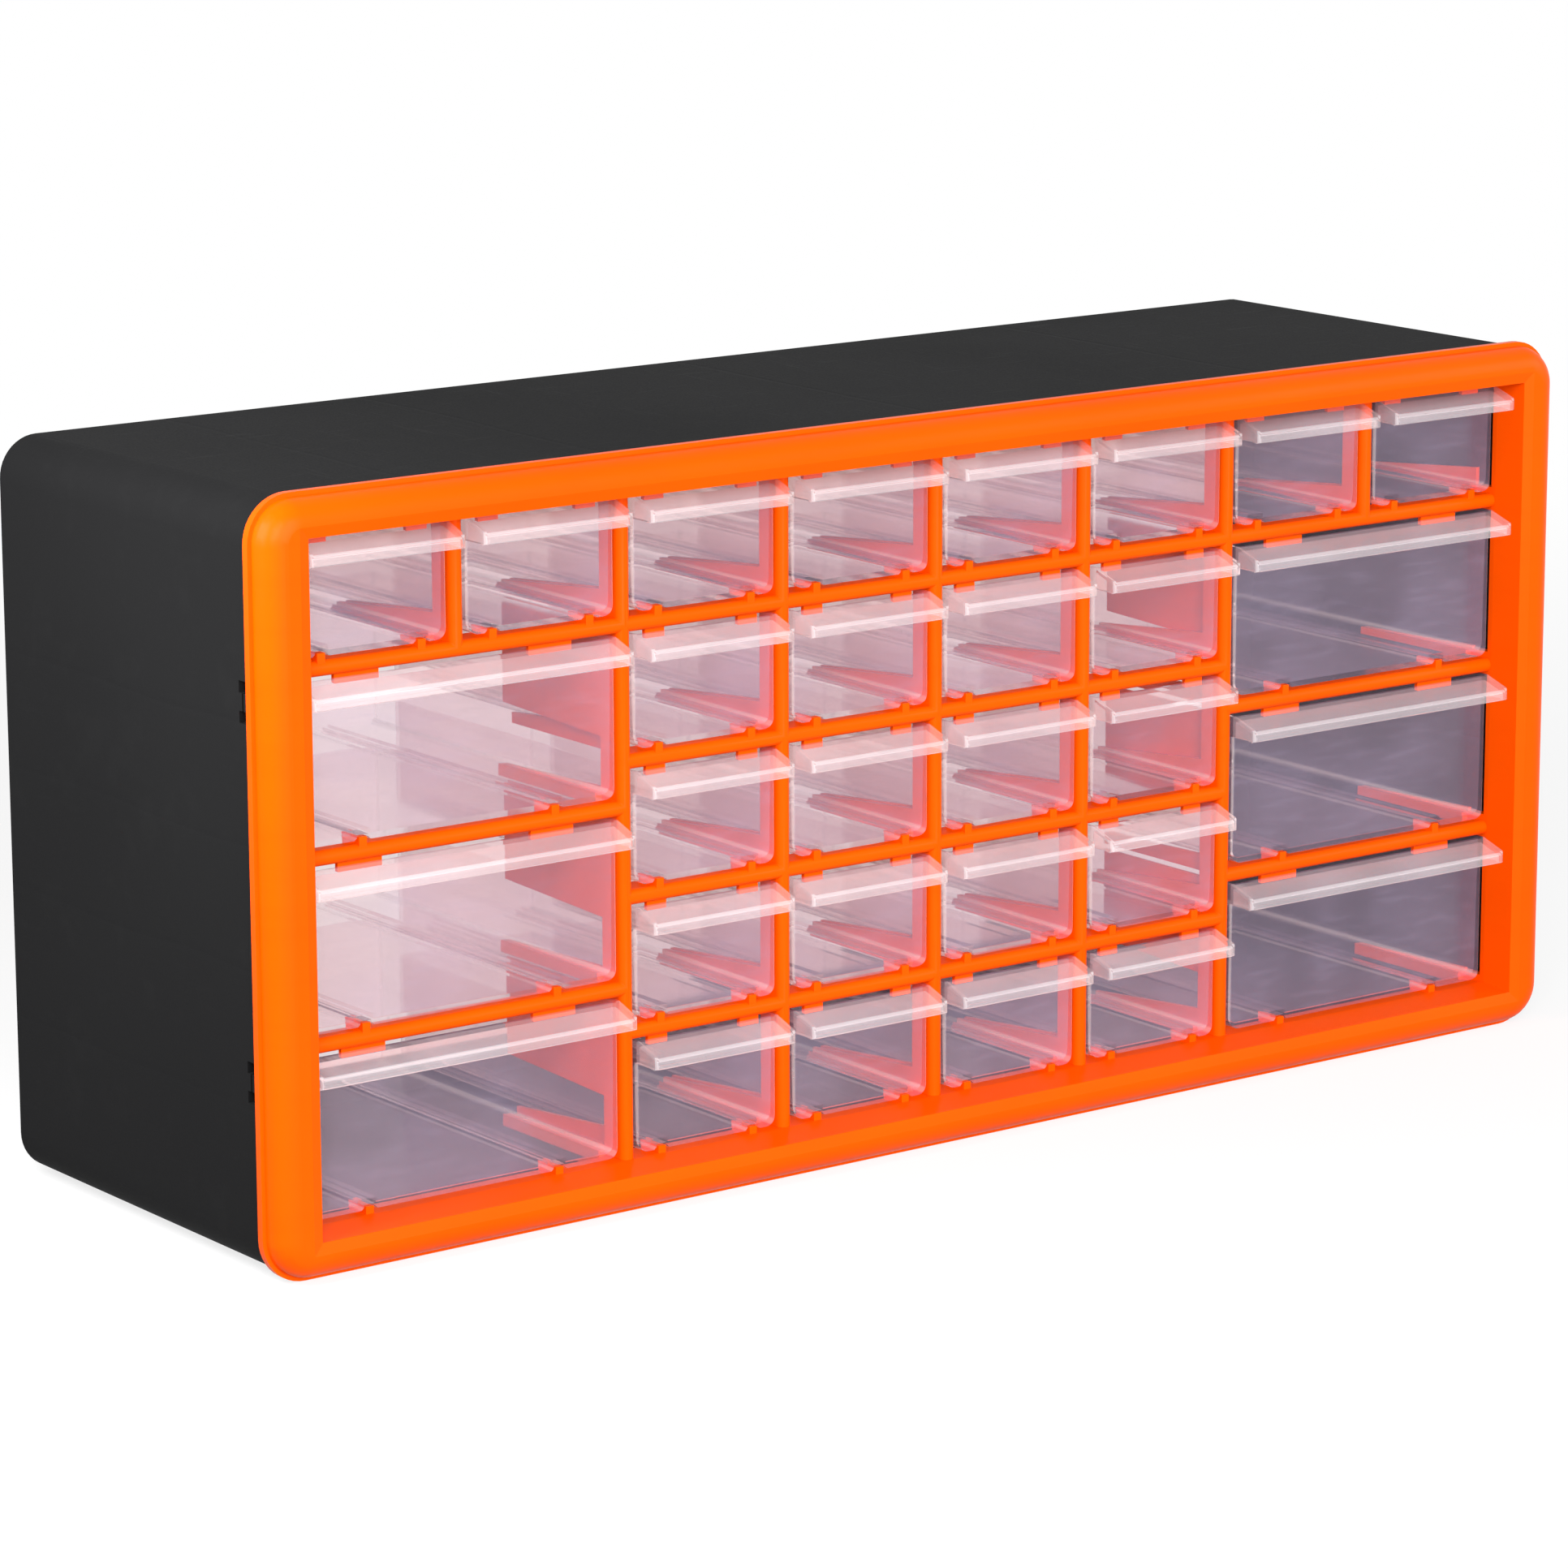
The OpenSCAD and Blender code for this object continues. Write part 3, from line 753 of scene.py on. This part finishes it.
@dataclass
class PhotoCamera:
    """The camera, at the photograph's place and angle."""

    name: str = "photo_camera"
    place: Place = (-1.083, -1.431, 0.504)
    turn: float = math.radians(36.79)
    tilt: float = math.radians(12.64)
    roll: float = math.radians(-0.15)
    focal_pixels: float = 7223.0
    sensor: float = 36.0
    nearest: float = 0.05
    farthest: float = 60.0

    def build(self) -> None:
        """Places the camera."""
        forward = Vector((math.sin(self.turn) * math.cos(self.tilt),
                          math.cos(self.turn) * math.cos(self.tilt), -math.sin(self.tilt)))
        level = Vector((math.cos(self.turn), -math.sin(self.turn), 0.0))
        upright = level.cross(forward)
        right = math.cos(self.roll) * level + math.sin(self.roll) * upright
        up = math.cos(self.roll) * upright - math.sin(self.roll) * level
        lens = bpy.data.cameras.new(self.name)
        lens.sensor_width = self.sensor
        lens.lens = self.focal_pixels * self.sensor / IMAGE_SIDE
        lens.clip_start = self.nearest
        lens.clip_end = self.farthest
        camera = bpy.data.objects.new(self.name, lens)
        turned = Matrix((right, up, -forward)).transposed().to_4x4()
        camera.matrix_world = Matrix.Translation(self.place) @ turned
        bpy.context.scene.collection.objects.link(camera)
        bpy.context.scene.camera = camera


@dataclass(frozen=True)
class Softbox:
    """One soft square lamp that points at the cabinet."""

    name: str
    place: Place
    size: float
    power: float
    colour: Colour = WHITE
    target: Place = (0.0, 0.0, 0.11)

    def build(self) -> None:
        """Places the lamp."""
        light = bpy.data.lights.new(self.name, "AREA")
        light.shape = "SQUARE"
        light.size = self.size
        light.energy = self.power
        light.color = self.colour
        lamp = bpy.data.objects.new(self.name, light)
        lamp.location = self.place
        aim = Vector(self.target) - Vector(self.place)
        lamp.rotation_euler = aim.to_track_quat("-Z", "Y").to_euler()
        bpy.context.scene.collection.objects.link(lamp)


@dataclass
class Studio:
    """A pale floor, white surroundings and soft lamps."""

    floor_half: float = 30.0
    floor_colour: Colour = (0.25, 0.25, 0.25)
    floor_glow: float = 0.78
    fade_start: float = 0.45
    fade_end: float = 1.3
    ambient: float = 0.2
    light_bounces: int = 28
    lamps: tuple[Softbox, ...] = (
        Softbox("key_softbox", (-1.4, -2.1, 1.1), size=1.5, power=74.0),
        Softbox("front_softbox", (0.1, -2.6, 0.7), size=1.4, power=42.0),
        Softbox("left_softbox", (-0.46, -0.05, 0.31), size=0.2, power=1.5,
                target=(-0.24, 0.0, 0.16)),
        Softbox("side_softbox", (2.2, -1.3, 1.0), size=1.2, power=15.0),
    )

    def build(self) -> None:
        """Makes the floor, the world and the lamps."""
        self._floor()
        self._world()
        for lamp in self.lamps:
            lamp.build()
            log.info("%s: soft lamp", lamp.name)
        scene = bpy.context.scene
        scene.view_settings.view_transform = "Standard"
        scene.cycles.max_bounces = self.light_bounces
        scene.cycles.transmission_bounces = self.light_bounces

    def _seen(self, graph: Graph) -> Socket:
        """Tells the rays that see the surroundings from the light that spreads.

        Args:
            graph: The floor's or the world's graph.

        Returns:
            1 where the eye, a reflection or clear plastic looks, and 0 elsewhere.
        """
        path = graph.add("ShaderNodeLightPath").outputs
        shown = graph.math("MAXIMUM", path["Is Camera Ray"], path["Is Glossy Ray"])
        return graph.math("MAXIMUM", shown, path["Is Transmission Ray"])

    def _floor_material(self) -> bpy.types.Material:
        """Makes a pale floor that keeps the near shadow and fades to white farther off.

        Returns:
            The material.
        """
        material, graph = empty_material("studio_floor")
        bounce = graph.add("ShaderNodeBsdfDiffuse", {"Color": (*self.floor_colour, 1.0)})
        glow = graph.add("ShaderNodeEmission", {"Color": (*WHITE, 1.0),
                                                "Strength": self.floor_glow})
        lit = graph.add("ShaderNodeAddShader", {0: bounce.outputs[0], 1: glow.outputs[0]})
        reach = graph.add("ShaderNodeVectorMath", {0: graph.place()}, operation="LENGTH")
        far = graph.ramp(reach.outputs["Value"], self.fade_start, self.fade_end)
        white = graph.add("ShaderNodeEmission", {"Color": (*WHITE, 1.0), "Strength": 1.0})
        shown = graph.mixed(far, lit, white)
        graph.end(graph.mixed(self._seen(graph), bounce, shown))
        return material

    def _floor(self) -> None:
        """Lays a wide flat floor under the cabinet."""
        half = self.floor_half
        mesh = bpy.data.meshes.new("floor")
        shape = bmesh.new()
        shape.faces.new([shape.verts.new((x * half, y * half, 0.0))
                         for x, y in ((-1, -1), (1, -1), (1, 1), (-1, 1))])
        shape.to_mesh(mesh)
        shape.free()
        mesh.materials.append(self._floor_material())
        floor = bpy.data.objects.new("floor", mesh)
        bpy.context.scene.collection.objects.link(floor)

    def _world(self) -> None:
        """White where it is seen, and a plain dimmer light elsewhere."""
        world = bpy.data.worlds.new("studio")
        world.use_nodes = True
        world.node_tree.nodes.clear()
        graph = Graph(world.node_tree)
        dim, white = (graph.add("ShaderNodeBackground", {"Color": (*WHITE, 1.0),
                                                         "Strength": strength})
                      for strength in (self.ambient, 1.0))
        whole = graph.mixed(self._seen(graph), dim, white)
        graph.add("ShaderNodeOutputWorld", {"Surface": whole.outputs[0]})
        bpy.context.scene.world = world


def main() -> None:
    """Builds the cabinet's looks, then the studio."""
    logging.basicConfig(level=logging.INFO, format="%(name)s: %(message)s")
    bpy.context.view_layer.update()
    effects = Effects()
    Casing().build(effects)
    FrontFrame().build(effects)
    DrawerSet().build(effects)
    Studio().build()
    PhotoCamera().build()


if __name__ == "__main__":
    main()
